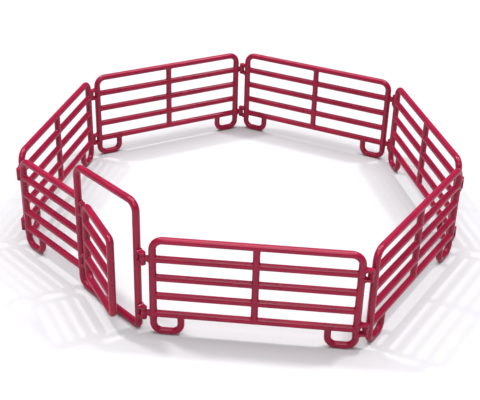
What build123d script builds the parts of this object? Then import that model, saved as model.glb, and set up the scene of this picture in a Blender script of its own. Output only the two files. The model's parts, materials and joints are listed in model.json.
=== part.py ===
from build123d import *
import os
from math import atan2, cos, degrees, hypot, radians, sin, sqrt

# A closed ring of seven moulded livestock panels, about one twentieth of full size.
# One of the seven sections holds an arched doorway with its own swinging gate.
# Row frame: the origin is the middle of the doorway's threshold, on the ground.
# +X runs along the gate section, +Y points into the pen and +Z points up.

# ---- driving dimensions, in millimetres and degrees ----
SECTION_WIDTH = 160.0        # from one end post to the other, between their centres
TOP_RAIL_HEIGHT = 87.9       # centre of the top rail above the ground
BOTTOM_RAIL_HEIGHT = 19.2    # centre of the lowest rail above the ground
RAIL_SPACES = 4              # equal spaces between the five rails
POST_RADIUS = 3.05           # end posts, arch and gate frame
RAIL_RADIUS = 2.95           # rails, a little slimmer so that they end on the posts
LEG_RADIUS = 2.85            # foot loops and middle uprights, which end on the rails
TOP_BEND = 8.4               # centreline radius of a panel's two top corners
FOOT_BEND = 7.5              # centreline radius of the bends under each foot
FOOT_WIDTH = 22.0            # end post to the inner leg of its foot loop
GROUND_FLAT = 0.2            # moulded flat under every bar that stands on the ground
JOINT_FILLET = 1.3           # moulded fillet where one bar runs into another

DOOR_POST_FROM_END = 83.2    # wing's end post to the left post of the arch
ARCH_HEIGHT = 116.9          # centre of the arch's top bar above the ground
ARCH_BEND = 8.0              # centreline radius of the arch's two top corners
THRESHOLD_BEND = 9.0         # centreline radius where the left post meets the threshold
CORNER_BEND = 3.6            # the tight bends: right end of the threshold, free side of the gate

PIN_FROM_POST = 6.8          # hinge pin to the post that carries it
CLIP_FROM_POST = 7.6         # the same pin to the post that carries the clip
PIN_RADIUS = 1.2
PIN_CLEARANCE = 0.08         # running clearance between pin and clip
LOOP_HEIGHT = 11.0           # over both arms of a pin loop
LOOP_ARM = 2.3               # thickness of one arm
LOOP_END_RADIUS = 2.5        # rounded end of an arm, round the pin
CLIP_GAP = 0.3               # clip to arm, above and below
NECK_HEIGHT = 5.0
NECK_THICKNESS = 2.4

LEAF_REST_ANGLE = 16.5       # how far the gate stands open at rest
LEAF_LENGTH = 58.3           # hinge stile to free stile, between their centres
LEAF_BOTTOM = 16.4           # centre of the gate's lowest rail
LEAF_TOP = 86.9              # centre of the gate's highest rail
LEAF_BEND = 8.0              # centreline radius of the gate's two hinge-side corners
LEAF_PIN_OFFSET = 5.8        # gate pin to the arch post, and to the hinge stile
LEAF_PIN_RADIUS = 1.05
LEAF_LOOP_HEIGHT = 12.6
LEAF_LOOP_ARM = 2.6
LEAF_LOOP_END_RADIUS = 2.1
LEAF_HINGE_LOW = 27.5
LEAF_HINGE_HIGH = 78.5
LATCH_NUB_HEIGHT = 45.0
LATCH_NUB_RADIUS = 1.6
LATCH_NUB_REACH = 0.6        # how far the nub stands out of the free stile

# How far each section turns from the one before it, going round the ring from the gate.
TURN_GATE_TO_PANEL_1 = 41.5
TURN_PANEL_1_TO_2 = 61.9
TURN_PANEL_2_TO_3 = 44.9
TURN_PANEL_6_TO_GATE = 56.8

# ---- values worked out from the driving dimensions ----
RAIL_SPACE = (TOP_RAIL_HEIGHT - BOTTOM_RAIL_HEIGHT) / RAIL_SPACES
LOWER_RAILS = [BOTTOM_RAIL_HEIGHT + RAIL_SPACE * step for step in range(RAIL_SPACES)]
HINGE_HEIGHTS = [LOWER_RAILS[0], LOWER_RAILS[-1]]
LEG_AXIS_HEIGHT = LEG_RADIUS - GROUND_FLAT
THRESHOLD_AXIS_HEIGHT = POST_RADIUS - GROUND_FLAT
HINGE_PITCH = SECTION_WIDTH + PIN_FROM_POST + CLIP_FROM_POST
POST_LOW = LEG_AXIS_HEIGHT + FOOT_BEND
POST_TAPER = 4.0
GATE_START_X = -(DOOR_POST_FROM_END + SECTION_WIDTH) / 2
LEAF_PIVOT_X = GATE_START_X + DOOR_POST_FROM_END + LEAF_PIN_OFFSET
LEAF_RAIL_SPACE = (LEAF_TOP - LEAF_BOTTOM) / RAIL_SPACES

X_WAY = Vector(1, 0, 0)
Z_WAY = Vector(0, 0, 1)


# ---- bars and bends, all in the plane y = 0 of a section's own frame ----
def bar(x, z, length, way, radius):
    """A straight round bar from (x, 0, z), along X_WAY or Z_WAY."""
    return Solid.make_cylinder(radius, length, Plane(origin=(x, 0, z), z_dir=way))


def post(x, low, high, radius=POST_RADIUS):
    return bar(x, low, high - low, Z_WAY, radius)


def bend(centre_x, centre_z, centre_radius, radius, first_angle):
    """A quarter turn of round bar. Its angle starts from +X and rises towards +Z."""
    angle = radians(first_angle)
    start = (centre_x + centre_radius * cos(angle), 0, centre_z + centre_radius * sin(angle))
    section = Plane(origin=start, x_dir=(0, 1, 0), z_dir=(-sin(angle), 0, cos(angle))) * Circle(radius)
    return revolve(section, Axis((centre_x, 0, centre_z), (0, -1, 0)), 90).solid()


def joined(pieces):
    result = pieces[0]
    for piece in pieces[1:]:
        result = result + piece
    return result.clean().solid()


def ending_on(piece, walls, fillet_radius=JOINT_FILLET):
    """The piece with its ends shaped to the walls' surfaces, with a moulded fillet at each."""
    whole = piece
    for wall in walls:
        whole = whole + wall
    straight_kinds = (GeomType.CIRCLE, GeomType.LINE, GeomType.ELLIPSE)
    seams = [edge for edge in whole.edges() if edge.geom_type not in straight_kinds]
    whole = fillet(seams, fillet_radius)
    for wall in walls:
        whole = whole - wall
    return max(whole.solids(), key=lambda solid: solid.volume)


def above_ground(piece):
    """The piece with a flat moulded where it would dip below the ground."""
    below = Pos(0, 0, -SECTION_WIDTH) * Box(4 * SECTION_WIDTH, 4 * SECTION_WIDTH, 2 * SECTION_WIDTH)
    return (piece - below).solid()


def rail_between(x_low, x_high, height):
    """A rail that ends on two upright posts."""
    stub = 12.0
    posts = [post(x, height - stub, height + stub) for x in (x_low, x_high)]
    return ending_on(bar(x_low, height, x_high - x_low, X_WAY, RAIL_RADIUS), posts)


def upright_between(x, rail_low, rail_high):
    """A short upright that ends on the rail below it and the rail above it."""
    stub = 12.0
    rails = [bar(x - stub, height, 2 * stub, X_WAY, RAIL_RADIUS) for height in (rail_low, rail_high)]
    return ending_on(post(x, rail_low, rail_high, LEG_RADIUS), rails)


def end_post(x):
    """An end post, which narrows at its foot to the size of the foot loop."""
    taper = Solid.make_cone(LEG_RADIUS, POST_RADIUS, POST_TAPER, Plane(origin=(x, 0, POST_LOW)))
    return joined([post(x, POST_LOW + POST_TAPER, TOP_RAIL_HEIGHT - TOP_BEND), taper])


def foot_loop(x, inward):
    """The bar that runs on under an end post, along the ground and up to the bottom rail.
    inward is 1 when the panel lies towards +X from the post and -1 when towards -X."""
    leg_x = x + inward * FOOT_WIDTH
    run_low = min(x, leg_x) + FOOT_BEND
    run = bar(run_low, LEG_AXIS_HEIGHT, FOOT_WIDTH - 2 * FOOT_BEND, X_WAY, LEG_RADIUS)
    left_bend = bend(run_low, POST_LOW, FOOT_BEND, LEG_RADIUS, 180)
    right_bend = bend(run_low + FOOT_WIDTH - 2 * FOOT_BEND, POST_LOW, FOOT_BEND, LEG_RADIUS, 270)
    stub = 12.0
    bottom_rail = bar(leg_x - stub, BOTTOM_RAIL_HEIGHT, 2 * stub, X_WAY, RAIL_RADIUS)
    leg = ending_on(post(leg_x, POST_LOW, BOTTOM_RAIL_HEIGHT, LEG_RADIUS), [bottom_rail])
    return above_ground(joined([left_bend, run, right_bend, leg]))


# ---- hinges ----
def pin_loops(post_x, offset, heights, height, arm, end_radius, pin_radius):
    """At each height, two arms that stand out of a post towards +X and hold a pin upright."""
    pieces = []
    wall = post(post_x, 0, ARCH_HEIGHT)
    for middle in heights:
        for low in (middle - height / 2, middle + height / 2 - arm):
            plate = Pos(post_x + offset / 2, 0, low + arm / 2) * Box(offset, 2 * end_radius, arm)
            end = Solid.make_cylinder(end_radius, arm, Plane(origin=(post_x + offset, 0, low)))
            pieces.append(joined([plate, end]) - wall)
        pin_low = middle - height / 2 + arm
        pieces.append(post(post_x + offset, pin_low, pin_low + height - 2 * arm, pin_radius))
    return pieces


def snap_clips(post_x, offset, heights, height, outer_radius, pin_radius):
    """At each height, an open ring round a pin, on a flat neck from the post towards -X."""
    pieces = []
    wall = post(post_x, 0, ARCH_HEIGHT)
    bore_radius = pin_radius + PIN_CLEARANCE
    mouth = 1.5 * pin_radius
    for middle in heights:
        low = middle - height / 2
        ring = Solid.make_cylinder(outer_radius, height, Plane(origin=(post_x - offset, 0, low)))
        neck = Pos(post_x - offset / 2, 0, middle) * Box(offset, NECK_THICKNESS, NECK_HEIGHT)
        bore = Solid.make_cylinder(bore_radius, height, Plane(origin=(post_x - offset, 0, low)))
        slot = Pos(post_x - offset - outer_radius / 2, 0, middle) * Box(outer_radius, mouth, height)
        pieces.append(((joined([ring, neck]) - bore) - slot - wall).solid())
    return pieces


def panel_clips(post_x):
    height = LOOP_HEIGHT - 2 * LOOP_ARM - 2 * CLIP_GAP
    return snap_clips(post_x, CLIP_FROM_POST, HINGE_HEIGHTS, height, LOOP_END_RADIUS, PIN_RADIUS)


def panel_pin_loops(post_x):
    return pin_loops(post_x, PIN_FROM_POST, HINGE_HEIGHTS, LOOP_HEIGHT, LOOP_ARM, LOOP_END_RADIUS,
                     PIN_RADIUS)


# ---- one plain panel ----
def panel_pieces():
    """Every piece of one panel, with its clip-end post at x = 0."""
    width = SECTION_WIDTH
    hoop_low = TOP_RAIL_HEIGHT - TOP_BEND
    rail = rail_between(0, width, LOWER_RAILS[0])
    segment = upright_between(width / 2, LOWER_RAILS[0], LOWER_RAILS[1])
    lifts = [RAIL_SPACE * step for step in range(RAIL_SPACES)]
    hoop = joined([
        bend(TOP_BEND, hoop_low, TOP_BEND, RAIL_RADIUS, 90),
        bar(TOP_BEND, TOP_RAIL_HEIGHT, width - 2 * TOP_BEND, X_WAY, RAIL_RADIUS),
        bend(width - TOP_BEND, hoop_low, TOP_BEND, RAIL_RADIUS, 0),
    ])
    return {
        "end_posts": [end_post(0), end_post(width)],
        "top_rail": [hoop],
        "lower_rails": [Pos(0, 0, lift) * rail for lift in lifts],
        "middle_upright": [Pos(0, 0, lift) * segment for lift in lifts],
        "foot_loops": [foot_loop(0, 1), foot_loop(width, -1)],
        "hinge_clips": panel_clips(0),
        "hinge_pin_loops": panel_pin_loops(width),
    }


# ---- the gate section: a short wing of rails and the arched doorway ----
def gate_pieces():
    door_x = DOOR_POST_FROM_END
    width = SECTION_WIDTH
    arch_low = ARCH_HEIGHT - ARCH_BEND
    hoop_low = TOP_RAIL_HEIGHT - TOP_BEND
    threshold_z = THRESHOLD_AXIS_HEIGHT
    door_post = post(door_x, threshold_z + THRESHOLD_BEND, arch_low)
    side_post = post(width, threshold_z + CORNER_BEND, arch_low)
    sill_run = width - door_x - THRESHOLD_BEND - CORNER_BEND
    sill = joined([
        bend(door_x + THRESHOLD_BEND, threshold_z + THRESHOLD_BEND, THRESHOLD_BEND, POST_RADIUS, 180),
        bar(door_x + THRESHOLD_BEND, threshold_z, sill_run, X_WAY, POST_RADIUS),
        bend(width - CORNER_BEND, threshold_z + CORNER_BEND, CORNER_BEND, POST_RADIUS, 270),
    ])
    arch_top = joined([
        bend(door_x + ARCH_BEND, arch_low, ARCH_BEND, POST_RADIUS, 90),
        bar(door_x + ARCH_BEND, ARCH_HEIGHT, width - door_x - 2 * ARCH_BEND, X_WAY, POST_RADIUS),
        bend(width - ARCH_BEND, arch_low, ARCH_BEND, POST_RADIUS, 0),
    ])
    top_bar = bar(TOP_BEND, TOP_RAIL_HEIGHT, door_x - TOP_BEND, X_WAY, RAIL_RADIUS)
    wall = post(door_x, TOP_RAIL_HEIGHT - 12, TOP_RAIL_HEIGHT + 12)
    wing_top = joined([bend(TOP_BEND, hoop_low, TOP_BEND, RAIL_RADIUS, 90), ending_on(top_bar, [wall])])
    rail = rail_between(0, door_x, LOWER_RAILS[0])
    return {
        "arch_posts": [door_post, side_post],
        "arch_top": [arch_top],
        "threshold": [above_ground(sill)],
        "wing_end_post": [end_post(0)],
        "wing_top_rail": [wing_top],
        "wing_lower_rails": [Pos(0, 0, RAIL_SPACE * step) * rail for step in range(RAIL_SPACES)],
        "wing_foot_loop": [foot_loop(0, 1)],
        "wing_hinge_clips": panel_clips(0),
        "arch_hinge_pin_loops": panel_pin_loops(width),
        "gate_pin_loops": pin_loops(door_x, LEAF_PIN_OFFSET, [LEAF_HINGE_LOW, LEAF_HINGE_HIGH],
                                    LEAF_LOOP_HEIGHT, LEAF_LOOP_ARM, LEAF_LOOP_END_RADIUS,
                                    LEAF_PIN_RADIUS),
    }


# ---- the gate leaf, with its pivot at x = 0 ----
def leaf_pieces():
    hinge_x = LEAF_PIN_OFFSET
    free_x = hinge_x + LEAF_LENGTH
    bends_low = LEAF_BOTTOM + LEAF_BEND
    bends_high = LEAF_TOP - LEAF_BEND
    corner_x = free_x - CORNER_BEND
    corner_low = LEAF_BOTTOM + CORNER_BEND
    corner_high = LEAF_TOP - CORNER_BEND
    hinge_stile = joined([
        bend(hinge_x + LEAF_BEND, bends_low, LEAF_BEND, POST_RADIUS, 180),
        post(hinge_x, bends_low, bends_high),
        bend(hinge_x + LEAF_BEND, bends_high, LEAF_BEND, POST_RADIUS, 90),
    ])
    rim_start = hinge_x + LEAF_BEND
    bottom_rim = bar(rim_start, LEAF_BOTTOM, corner_x - rim_start, X_WAY, POST_RADIUS)
    top_rim = bar(rim_start, LEAF_TOP, corner_x - rim_start, X_WAY, POST_RADIUS)
    free_stile = joined([
        bend(corner_x, corner_low, CORNER_BEND, POST_RADIUS, 270),
        post(free_x, corner_low, corner_high),
        bend(corner_x, corner_high, CORNER_BEND, POST_RADIUS, 0),
    ])
    rail = rail_between(hinge_x, free_x, LEAF_BOTTOM)
    middle_rails = [Pos(0, 0, LEAF_RAIL_SPACE * step) * rail for step in range(1, RAIL_SPACES)]
    nub_plane = Plane(origin=(free_x, 0, LATCH_NUB_HEIGHT), z_dir=X_WAY)
    nub = Solid.make_cylinder(LATCH_NUB_RADIUS, POST_RADIUS + LATCH_NUB_REACH, nub_plane)
    rim = nub.edges().filter_by(GeomType.CIRCLE).sort_by(Axis.X)[-1]
    nub = fillet(rim, 0.7 * LATCH_NUB_REACH) - post(free_x, LEAF_BOTTOM, LEAF_TOP)
    clip_height = LEAF_LOOP_HEIGHT - 2 * LEAF_LOOP_ARM - 2 * CLIP_GAP
    heights = [LEAF_HINGE_LOW, LEAF_HINGE_HIGH]
    return {
        "gate_hinge_stile": [hinge_stile],
        "gate_free_stile": [free_stile],
        "gate_rails": [bottom_rim] + middle_rails + [top_rim],
        "gate_hinge_clips": snap_clips(hinge_x, LEAF_PIN_OFFSET, heights, clip_height,
                                       LEAF_LOOP_END_RADIUS, LEAF_PIN_RADIUS),
        "gate_latch_nub": [nub],
    }


# ---- where each section stands in the ring ----
def step_from(point, heading, length):
    return (point[0] + length * cos(radians(heading)), point[1] + length * sin(radians(heading)))


def heading_between(start, end):
    return degrees(atan2(end[1] - start[1], end[0] - start[0]))


def apex(start, end, side):
    """The point at the distance side from both start and end, outside the ring."""
    half = hypot(end[0] - start[0], end[1] - start[1]) / 2
    middle = ((start[0] + end[0]) / 2, (start[1] + end[1]) / 2)
    return step_from(middle, heading_between(start, end) - 90, sqrt(side**2 - half**2))


def ring_pivots():
    """The seven hinge axes, going round from the one beside the arch."""
    first = (GATE_START_X + SECTION_WIDTH + PIN_FROM_POST, 0.0)
    last = (GATE_START_X - CLIP_FROM_POST, 0.0)
    points = [first]
    heading = 0.0
    for turn in (TURN_GATE_TO_PANEL_1, TURN_PANEL_1_TO_2, TURN_PANEL_2_TO_3):
        heading = heading + turn
        points.append(step_from(points[-1], heading, HINGE_PITCH))
    before_last = step_from(last, 180 - TURN_PANEL_6_TO_GATE, HINGE_PITCH)
    return points + [apex(points[-1], before_last, HINGE_PITCH), before_last, last]


PIVOTS = ring_pivots()
SECTION_HEADINGS = [heading_between(start, end) for start, end in zip(PIVOTS[:-1], PIVOTS[1:])]


def write_node(name, pieces, place):
    group = Compound(children=[place * piece for piece in pieces])
    export_step(group, "parts/" + name + ".step")


def main():
    os.makedirs("parts", exist_ok=True)
    for name, pieces in gate_pieces().items():
        write_node(name, pieces, Pos(GATE_START_X, 0, 0))
    for name, pieces in leaf_pieces().items():
        write_node(name, pieces, Pos(LEAF_PIVOT_X, 0, 0) * Rot(0, 0, -LEAF_REST_ANGLE))
    panel = panel_pieces()
    for number, (pivot, heading) in enumerate(zip(PIVOTS[:-1], SECTION_HEADINGS), start=1):
        place = Pos(pivot[0], pivot[1], 0) * Rot(0, 0, heading) * Pos(CLIP_FROM_POST, 0, 0)
        for name, pieces in panel.items():
            write_node("panel_" + str(number) + "_" + name, pieces, place)


main()
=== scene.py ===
import json
from math import atan2, cos, pi, radians, sin, sqrt

import bpy
from mathutils import Matrix, Vector


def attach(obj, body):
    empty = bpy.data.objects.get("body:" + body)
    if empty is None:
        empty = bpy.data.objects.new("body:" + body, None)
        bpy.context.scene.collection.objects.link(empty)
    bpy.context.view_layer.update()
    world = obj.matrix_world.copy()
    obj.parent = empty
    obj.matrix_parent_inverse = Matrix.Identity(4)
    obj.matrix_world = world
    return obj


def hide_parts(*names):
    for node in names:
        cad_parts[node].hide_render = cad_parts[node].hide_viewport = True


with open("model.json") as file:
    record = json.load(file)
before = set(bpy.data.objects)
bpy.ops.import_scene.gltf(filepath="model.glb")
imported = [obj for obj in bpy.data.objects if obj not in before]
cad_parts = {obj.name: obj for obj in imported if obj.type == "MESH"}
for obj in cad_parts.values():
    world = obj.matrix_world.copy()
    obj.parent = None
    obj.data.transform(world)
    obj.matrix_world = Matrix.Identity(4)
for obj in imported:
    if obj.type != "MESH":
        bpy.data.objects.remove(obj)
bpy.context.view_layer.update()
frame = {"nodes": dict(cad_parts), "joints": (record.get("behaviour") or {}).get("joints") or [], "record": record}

MM = 0.001

# ---- the hinge mouldings, in metres ----
# heights: the middle of the low and the high pin loop above the floor. loop: a pin loop's height.
# arm: one arm's thickness. end: the radius of the arms' round ends and of the clip's ring.
# pin: its radius. pin_to_post, clip_to_post: from the pin's axis to the axis of the post that
# the loop or the clip grows from.
PANEL_HINGE = {
    "heights": {"low": 19.2 * MM, "high": 70.725 * MM},
    "loop": 11.0 * MM,
    "arm": 2.3 * MM,
    "end": 2.5 * MM,
    "pin": 1.2 * MM,
    "pin_to_post": 6.8 * MM,
    "clip_to_post": 7.6 * MM,
}
GATE_HINGE = {
    "heights": {"low": 27.5 * MM, "high": 78.5 * MM},
    "loop": 12.6 * MM,
    "arm": 2.6 * MM,
    "end": 2.1 * MM,
    "pin": 1.05 * MM,
    "pin_to_post": 5.8 * MM,
    "clip_to_post": 5.8 * MM,
}
POST_RADIUS = 3.05 * MM
PIN_SIDES = 40
RING_STEPS = 36
BORE_CLEARANCE = 0.08 * MM    # between the pin and the clip's ring
CLIP_GAP = 0.3 * MM           # between the clip and each arm of its pin loop
NECK_HEIGHT = 5.0 * MM
NECK_THICKNESS = 2.4 * MM
NECK_INTO_RING = 0.4 * MM     # how far the neck runs into the wall of the ring
MOUTH_HALF_ANGLE = radians(46)
LIP_REACH = 0.5 * MM          # lead-in lips on both sides of a clip's mouth
LIP_SPREAD = 0.3 * MM
INTO_POST = 1.5 * MM          # how far a moulding runs on inside the post that it grows from
FLARE_REACH = 0.9 * MM        # the stretch over which it widens before it meets the post
FLARE = 0.45 * MM
NEAR = 0.01 * MM              # places closer than this count as the same
MERGE = 0.001 * MM
FACING = 0.9                  # a face looks along X when its normal has this much of it
SAME_TURN = radians(1)
VOXEL = 0.16 * MM             # fine enough to keep the lips of a clip's mouth
SOFTENING = 0.5               # share of the way that a point moves to its neighbours' middle
SOFTENING_ROUNDS = 8
FACES_KEPT = 0.35             # share of the faces that is left on a finished moulding


# ---- where the sections stand: pivots and headings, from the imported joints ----
def joint_point(name):
    """Where the joint's upright axis meets the floor."""
    joint = next(entry for entry in frame["joints"] if entry["name"] == name)
    return Vector(joint["pos_m"][:2])


def apex(start, end, side):
    """The point at the distance side from start and end, on the right of the way between them."""
    way = end - start
    rise = sqrt(side**2 - (way.length / 2) ** 2)
    return (start + end) / 2 + Vector((way.y, -way.x)).normalized() * rise


def ring():
    """Each section's body, its first pivot and its heading, going round from the gate section."""
    first = joint_point("panel_1_swing")
    second = joint_point("panel_2_swing")
    third = joint_point("panel_3_swing")
    fifth = joint_point("panel_4_swing")
    sixth = joint_point("panel_5_swing")
    last = joint_point("panel_6_swing")
    fourth = apex(third, fifth, (second - first).length)
    stops = [last, first, second, third, fourth, fifth, sixth, last]
    bodies = ["gate_section"] + ["panel_" + str(number) for number in range(1, 7)]
    sections = []
    for body, start, end in zip(bodies, stops[:-1], stops[1:]):
        heading = atan2(end.y - start.y, end.x - start.x)
        sections.append({"body": body, "start": start, "end": end, "heading": heading})
    return sections


SECTIONS = ring()
GATE_PIVOT = joint_point("gate_swing")
gate_joint = next(entry for entry in frame["joints"] if entry["name"] == "gate_swing")
GATE_HEADING = radians(gate_joint["range_deg"][0])      # the leaf stands as far open as it can shut
DOORWAY_HEADING = 0.0


# ---- materials ----
def linear(hex_colour):
    """An sRGB hex colour as linear RGBA."""
    values = [int(hex_colour[place:place + 2], 16) / 255 for place in (1, 3, 5)]
    turned = [v / 12.92 if v <= 0.04045 else ((v + 0.055) / 1.055) ** 2.4 for v in values]
    return (*turned, 1.0)


def add_node(tree, kind, settings=None, inputs=None):
    """Adds a node. An input is a value, or a linked output given as (node, output name)."""
    node = tree.nodes.new(kind)
    for key, value in (settings or {}).items():
        setattr(node, key, value)
    for key, value in (inputs or {}).items():
        if isinstance(value, tuple) and len(value) == 2 and hasattr(value[0], "outputs"):
            tree.links.new(value[0].outputs[value[1]], node.inputs[key])
        else:
            node.inputs[key].default_value = value
    return node


def new_material(name):
    material = bpy.data.materials.new(name)
    material.use_nodes = True
    material.node_tree.nodes.clear()
    return material, material.node_tree


# Injection-moulded polypropylene, dyed crimson right through. It has a satin skin that follows a
# lightly blasted steel mould, so broad soft highlights, and a fine parting line round every bar.
PLASTIC_CRIMSON = "#A3153C"
PLASTIC_SHADE = "#8C1034"
PLASTIC_LINE = "#B03050"
SKIN_GRAIN = 0.9 * MM         # mould texture; finer on the real skin, drawn coarse enough to show
FLOW_PATCH = 38 * MM          # soft patches where the melt cooled at its own pace
PARTING_HALF_WIDTH = 0.22 * MM
PARTING_HEIGHT = 0.08 * MM
PARTING_RELIEF = 0.5
PARTING_TINT = 0.35           # how much of the line's own colour shows
GRAIN_DEPTH = 0.03 * MM
GRAIN_RELIEF = 0.35
FLOW_LOW = 0.3                # the noise value where the shade is deepest
FLOW_HIGH = 0.7
PLASTIC_IOR = 1.49            # polypropylene
PLASTIC_SPECULAR = 0.3        # the blasted skin scatters part of its reflection
GLOSSY = 0.24                 # roughness where the melt lay hardest on the mould
DULL = 0.34


def moulded_polypropylene(name, origin, heading):
    """The plastic of one moulding. origin and heading give the plane that the mould parted on."""
    material, tree = new_material(name)
    place = add_node(tree, "ShaderNodeTexCoord")
    local = add_node(tree, "ShaderNodeMapping", {"vector_type": "TEXTURE"}, {
        "Vector": (place, "Object"), "Location": (origin.x, origin.y, 0), "Rotation": (0, 0, heading)})
    axes = add_node(tree, "ShaderNodeSeparateXYZ", None, {"Vector": (local, "Vector")})
    across = add_node(tree, "ShaderNodeMath", {"operation": "ABSOLUTE"}, {0: (axes, "Y")})
    line = add_node(tree, "ShaderNodeMapRange", {"interpolation_type": "SMOOTHSTEP"}, {
        "Value": (across, "Value"), "From Min": 0.0, "From Max": PARTING_HALF_WIDTH,
        "To Min": 1.0, "To Max": 0.0})
    flow = add_node(tree, "ShaderNodeTexNoise", None, {
        "Vector": (local, "Vector"), "Scale": 1 / FLOW_PATCH, "Detail": 3.0, "Roughness": 0.55})
    grain = add_node(tree, "ShaderNodeTexNoise", None, {
        "Vector": (local, "Vector"), "Scale": 1 / SKIN_GRAIN, "Detail": 4.0, "Roughness": 0.6})
    flow_mix = add_node(tree, "ShaderNodeMapRange", None, {
        "Value": (flow, "Fac"), "From Min": FLOW_LOW, "From Max": FLOW_HIGH, "To Min": 0.0, "To Max": 1.0})
    body_colour = add_node(tree, "ShaderNodeMix", {"data_type": "RGBA"}, {
        0: (flow_mix, "Result"), 6: linear(PLASTIC_SHADE), 7: linear(PLASTIC_CRIMSON)})
    line_mix = add_node(tree, "ShaderNodeMath", {"operation": "MULTIPLY"}, {
        0: (line, "Result"), 1: PARTING_TINT})
    colour = add_node(tree, "ShaderNodeMix", {"data_type": "RGBA"}, {
        0: (line_mix, "Value"), 6: (body_colour, 2), 7: linear(PLASTIC_LINE)})
    gloss = add_node(tree, "ShaderNodeMapRange", None, {
        "Value": (flow, "Fac"), "From Min": 0.25, "From Max": 0.75, "To Min": GLOSSY, "To Max": DULL})
    ridge = add_node(tree, "ShaderNodeBump", None, {
        "Height": (line, "Result"), "Strength": PARTING_RELIEF, "Distance": PARTING_HEIGHT})
    skin = add_node(tree, "ShaderNodeBump", None, {
        "Height": (grain, "Fac"), "Strength": GRAIN_RELIEF, "Distance": GRAIN_DEPTH,
        "Normal": (ridge, "Normal")})
    shader = add_node(tree, "ShaderNodeBsdfPrincipled", None, {
        "Base Color": (colour, 2), "Roughness": (gloss, "Result"), "IOR": PLASTIC_IOR,
        "Specular IOR Level": PLASTIC_SPECULAR, "Normal": (skin, "Normal")})
    add_node(tree, "ShaderNodeOutputMaterial", None, {"Surface": (shader, "BSDF")})
    return material


PLASTICS = {}
for entry in SECTIONS:
    PLASTICS[entry["body"]] = moulded_polypropylene(
        "moulded_polypropylene_" + entry["body"], entry["start"], entry["heading"])
PLASTICS["gate_leaf"] = moulded_polypropylene(
    "moulded_polypropylene_gate_leaf", GATE_PIVOT, GATE_HEADING)


def dress_cad_nodes():
    """The bars and feet keep their shapes and get the plastic of the section that they belong to."""
    for body, members in frame["record"]["behaviour"]["bodies"].items():
        for node in members:
            for slot in frame["nodes"][node].material_slots:
                slot.material = PLASTICS[body]


dress_cad_nodes()


# ---- hinge mouldings: pin loops and snap clips ----
def select_none():
    if bpy.context.object and bpy.context.object.mode != "OBJECT":
        bpy.ops.object.mode_set(mode="OBJECT")
    bpy.ops.object.select_all(action="DESELECT")


def place_in_mesh(piece):
    """Bakes the object's place into its mesh, so that the object sits at the origin."""
    select_none()
    piece.select_set(True)
    bpy.context.view_layer.objects.active = piece
    bpy.ops.object.transform_apply(location=True, rotation=True, scale=True)


def pick_faces(piece, wanted):
    """Selects, in edit mode, the faces that wanted accepts by their centre and normal."""
    bpy.ops.object.mode_set(mode="EDIT")
    bpy.ops.mesh.select_mode(type="FACE")
    bpy.ops.mesh.select_all(action="DESELECT")
    bpy.ops.object.mode_set(mode="OBJECT")
    for face in piece.data.polygons:
        face.select = wanted(face.center, face.normal)
    bpy.ops.object.mode_set(mode="EDIT")


def block(low, high):
    """A box between two corners."""
    select_none()
    middle = [(a + b) / 2 for a, b in zip(low, high)]
    bpy.ops.mesh.primitive_cube_add(size=1.0, location=middle)
    piece = bpy.context.object
    piece.scale = [b - a for a, b in zip(low, high)]
    place_in_mesh(piece)
    return piece


def upright_bar(radius, low, high):
    """A round bar on the hinge's axis."""
    select_none()
    bpy.ops.mesh.primitive_cylinder_add(
        vertices=PIN_SIDES, radius=radius, depth=high - low, location=(0, 0, (low + high) / 2))
    piece = bpy.context.object
    place_in_mesh(piece)
    return piece


def spread(piece, axis):
    """The piece's length along the axis with this number."""
    places = [vertex.co[axis] for vertex in piece.data.vertices]
    return max(places) - min(places)


def flare_end(piece, side):
    """Draws the end face on the side * X side out, wider, and on into the post."""
    end = max(side * vertex.co.x for vertex in piece.data.vertices)
    wider = (1, 1 + 2 * FLARE / spread(piece, 1), 1 + 2 * FLARE / spread(piece, 2))
    pick_faces(piece, lambda centre, normal: side * normal.x > FACING and side * centre.x > end - NEAR)
    bpy.ops.mesh.extrude_region_move(TRANSFORM_OT_translate={"value": (side * FLARE_REACH, 0, 0)})
    bpy.ops.transform.resize(value=wider)
    bpy.ops.mesh.extrude_region_move(TRANSFORM_OT_translate={"value": (side * INTO_POST, 0, 0)})
    bpy.ops.object.mode_set(mode="OBJECT")


def fused(pieces, name):
    """One moulding out of overlapping pieces: its inner corners filleted, its edges softened."""
    select_none()
    for piece in pieces:
        piece.select_set(True)
    bpy.context.view_layer.objects.active = pieces[0]
    bpy.ops.object.join()
    whole = bpy.context.object
    whole.name = name
    shell = whole.modifiers.new("shell", "REMESH")
    shell.mode = "VOXEL"
    shell.voxel_size = VOXEL
    soften = whole.modifiers.new("soften", "SMOOTH")
    soften.factor = SOFTENING
    soften.iterations = SOFTENING_ROUNDS
    thin = whole.modifiers.new("thin", "DECIMATE")
    thin.ratio = FACES_KEPT
    for step in ("shell", "soften", "thin"):
        bpy.ops.object.modifier_apply(modifier=step)
    bpy.ops.object.shade_smooth()
    return whole


def pin_loop(size, name):
    """Two arms from a post at -X that hold an upright pin, with the pin's axis at the origin."""
    half = size["loop"] / 2
    flare_start = FLARE_REACH + POST_RADIUS - size["pin_to_post"]
    pieces = [upright_bar(size["pin"], size["arm"] / 2 - half, half - size["arm"] / 2)]
    for low in (-half, half - size["arm"]):
        arm = block((flare_start, -size["end"], low), (0, size["end"], low + size["arm"]))
        flare_end(arm, -1)
        pieces += [arm, upright_bar(size["end"], low, low + size["arm"])]
    return fused(pieces, name)


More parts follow.
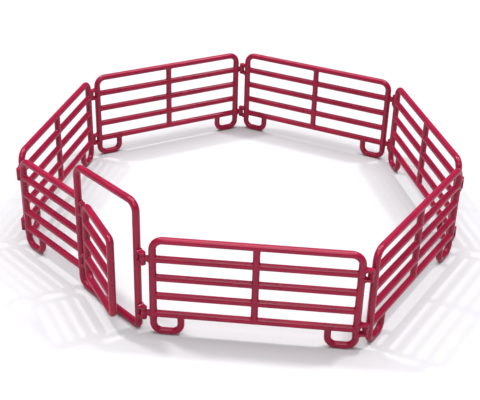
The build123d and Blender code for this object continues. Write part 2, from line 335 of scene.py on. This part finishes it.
def open_ring(size, half_height):
    """A ring round the pin with its mouth towards -X and a lead-in lip on each side of the mouth."""
    bore = size["pin"] + BORE_CLEARANCE
    wall = size["end"] - bore
    turn = 2 * (pi - MOUTH_HALF_ANGLE)
    select_none()
    bpy.ops.mesh.primitive_plane_add(size=1.0, location=(bore + wall / 2, 0, 0), rotation=(pi / 2, 0, 0))
    hoop = bpy.context.object
    hoop.scale = (wall, 2 * half_height, 1)
    place_in_mesh(hoop)
    bpy.ops.object.mode_set(mode="EDIT")
    bpy.ops.mesh.select_all(action="SELECT")
    bpy.ops.transform.rotate(value=turn / 2, orient_axis="Z", center_override=(0, 0, 0))
    bpy.ops.mesh.spin(steps=RING_STEPS, angle=turn, center=(0, 0, 0), axis=(0, 0, -1))
    bpy.ops.mesh.select_all(action="SELECT")
    bpy.ops.mesh.remove_doubles(threshold=MERGE)
    bpy.ops.mesh.normals_make_consistent(inside=False)
    for side in (1, -1):
        mouth = side * (pi - MOUTH_HALF_ANGLE)
        pick_faces(hoop, lambda centre, normal: abs(atan2(centre.y, centre.x) - mouth) < SAME_TURN)
        bpy.ops.mesh.extrude_region_move(
            TRANSFORM_OT_translate={"value": (-LIP_REACH, side * LIP_SPREAD, 0)})
    bpy.ops.object.mode_set(mode="OBJECT")
    return hoop


def snap_clip(size, name):
    """An open ring on a flat neck from a post at +X, with the pin's axis at the origin."""
    half = size["loop"] / 2 - size["arm"] - CLIP_GAP
    neck_start = size["end"] - NECK_INTO_RING
    neck_end = size["clip_to_post"] - POST_RADIUS - FLARE_REACH
    neck = block(
        (neck_start, -NECK_THICKNESS / 2, -NECK_HEIGHT / 2),
        (neck_end, NECK_THICKNESS / 2, NECK_HEIGHT / 2))
    flare_end(neck, 1)
    return fused([open_ring(size, half), neck], name)


def copies(template, stem, size, pivot, heading, body, node):
    """A copy of the template at each of the hinge's two heights. They stand for one CAD node."""
    for level, height in size["heights"].items():
        piece = template.copy()
        piece.data = template.data.copy()
        piece.name = stem + "_" + level
        bpy.context.scene.collection.objects.link(piece)
        place = Matrix.Translation((pivot.x, pivot.y, height)) @ Matrix.Rotation(heading, 4, "Z")
        piece.data.transform(place)
        piece.data.materials.clear()
        piece.data.materials.append(PLASTICS[body])
        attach(piece, body)
        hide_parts(node)


def hinges():
    """Models each hinge moulding once and copies it to every place it has in the ring."""
    panel_loop = pin_loop(PANEL_HINGE, "panel_pin_loop")
    panel_clip = snap_clip(PANEL_HINGE, "panel_snap_clip")
    gate_loop = pin_loop(GATE_HINGE, "gate_pin_loop")
    gate_clip = snap_clip(GATE_HINGE, "gate_snap_clip")
    for entry in SECTIONS:
        body = entry["body"]
        on_gate_section = body == "gate_section"
        clip_node = "wing_hinge_clips" if on_gate_section else body + "_hinge_clips"
        loop_node = "arch_hinge_pin_loops" if on_gate_section else body + "_hinge_pin_loops"
        copies(panel_clip, body + "_snap_clip", PANEL_HINGE,
               entry["start"], entry["heading"], body, clip_node)
        copies(panel_loop, body + "_pin_loop", PANEL_HINGE,
               entry["end"], entry["heading"], body, loop_node)
    copies(gate_loop, "arch_gate_pin_loop", GATE_HINGE,
           GATE_PIVOT, DOORWAY_HEADING, "gate_section", "gate_pin_loops")
    copies(gate_clip, "gate_leaf_snap_clip", GATE_HINGE,
           GATE_PIVOT, GATE_HEADING, "gate_leaf", "gate_hinge_clips")
    for template in (panel_loop, panel_clip, gate_loop, gate_clip):
        bpy.data.objects.remove(template)


hinges()


# ---- floor, light and camera ----
# Backdrop paper: a matt sheet that scatters nearly all of its light evenly.
PAPER_WHITE = "#CFCFD2"
PAPER_ROUGHNESS = 0.9
PAPER_SPECULAR = 0.15
FLOOR_SIDE = 60.0             # metres, so that its far edge stays near the horizon
PEN_MIDDLE = (0, 0.19, 0)
ROOM_GLOW = 0.135             # strength of the light that comes from all round
WHITE = (1.0, 1.0, 1.0, 1.0)


def studio():
    """A plain pale floor in a soft, evenly lit room."""
    material, tree = new_material("matt_white_backdrop_paper")
    shader = add_node(tree, "ShaderNodeBsdfPrincipled", None, {
        "Base Color": linear(PAPER_WHITE), "Roughness": PAPER_ROUGHNESS,
        "Specular IOR Level": PAPER_SPECULAR})
    add_node(tree, "ShaderNodeOutputMaterial", None, {"Surface": (shader, "BSDF")})
    bpy.ops.mesh.primitive_plane_add(size=FLOOR_SIDE, location=PEN_MIDDLE)
    floor = bpy.context.object
    floor.name = "floor"
    floor.data.materials.append(material)
    world = bpy.data.worlds.new("soft_room")
    world.use_nodes = True
    glow = world.node_tree.nodes["Background"]
    glow.inputs["Color"].default_value = WHITE
    glow.inputs["Strength"].default_value = ROOM_GLOW
    bpy.context.scene.world = world


# name: place, diameter in metres, watts
SOFTBOXES = {
    "left_softbox": ((-1.0, -0.31, 1.93), 0.2, 17.5),
    "right_softbox": ((0.345, 1.05, 2.02), 0.2, 17.0),
    "front_softbox": ((0.8, -0.75, 1.1), 0.45, 6.5),
}
LIGHTS_AIM = (-0.02, 0.19, 0.03)
SKYLIGHT_SPREAD = radians(46)
SKYLIGHT_STRENGTH = 2.6


def area_light(name, place, aim, size, watts):
    """A round softbox at place that faces aim."""
    data = bpy.data.lights.new(name, "AREA")
    data.shape = "DISK"
    data.size = size
    data.energy = watts
    light = bpy.data.objects.new(name, data)
    bpy.context.scene.collection.objects.link(light)
    light.location = place
    light.rotation_mode = "QUATERNION"
    light.rotation_quaternion = (Vector(aim) - Vector(place)).to_track_quat("-Z", "Y")


def skylight(spread, strength):
    """Soft light from overhead that is as strong everywhere on the floor."""
    data = bpy.data.lights.new("skylight", "SUN")
    data.angle = spread
    data.energy = strength
    light = bpy.data.objects.new("skylight", data)
    bpy.context.scene.collection.objects.link(light)


def lights():
    for name, (place, size, watts) in SOFTBOXES.items():
        area_light(name, place, LIGHTS_AIM, size, watts)
    skylight(SKYLIGHT_SPREAD, SKYLIGHT_STRENGTH)


CAMERA_PLACE = (0.54805, -0.38495, 0.49707)
CAMERA_HEADING = radians(46.875)   # turned left of +Y
CAMERA_PITCH = radians(28.934)     # looking down
CAMERA_ROLL = radians(1.236)
CAMERA_LENS = 74.03                # millimetres
CAMERA_SHIFT = (0.0288, -0.0606)
CAMERA_NEAR = 0.05
CAMERA_FAR = 100.0


def camera():
    ahead = Vector((
        -sin(CAMERA_HEADING) * cos(CAMERA_PITCH),
        cos(CAMERA_HEADING) * cos(CAMERA_PITCH),
        -sin(CAMERA_PITCH)))
    level = ahead.cross(Vector((0, 0, 1))).normalized()
    up = level.cross(ahead)
    right = level * cos(CAMERA_ROLL) + up * sin(CAMERA_ROLL)
    upright = up * cos(CAMERA_ROLL) - level * sin(CAMERA_ROLL)
    data = bpy.data.cameras.new("camera")
    data.lens = CAMERA_LENS
    data.shift_x, data.shift_y = CAMERA_SHIFT
    data.clip_start = CAMERA_NEAR
    data.clip_end = CAMERA_FAR
    made = bpy.data.objects.new("camera", data)
    bpy.context.scene.collection.objects.link(made)
    turn = Matrix((right, upright, -ahead)).transposed()
    made.matrix_world = Matrix.Translation(CAMERA_PLACE) @ turn.to_4x4()
    bpy.context.scene.camera = made


studio()
lights()
camera()
bpy.context.scene.view_settings.view_transform = "Standard"
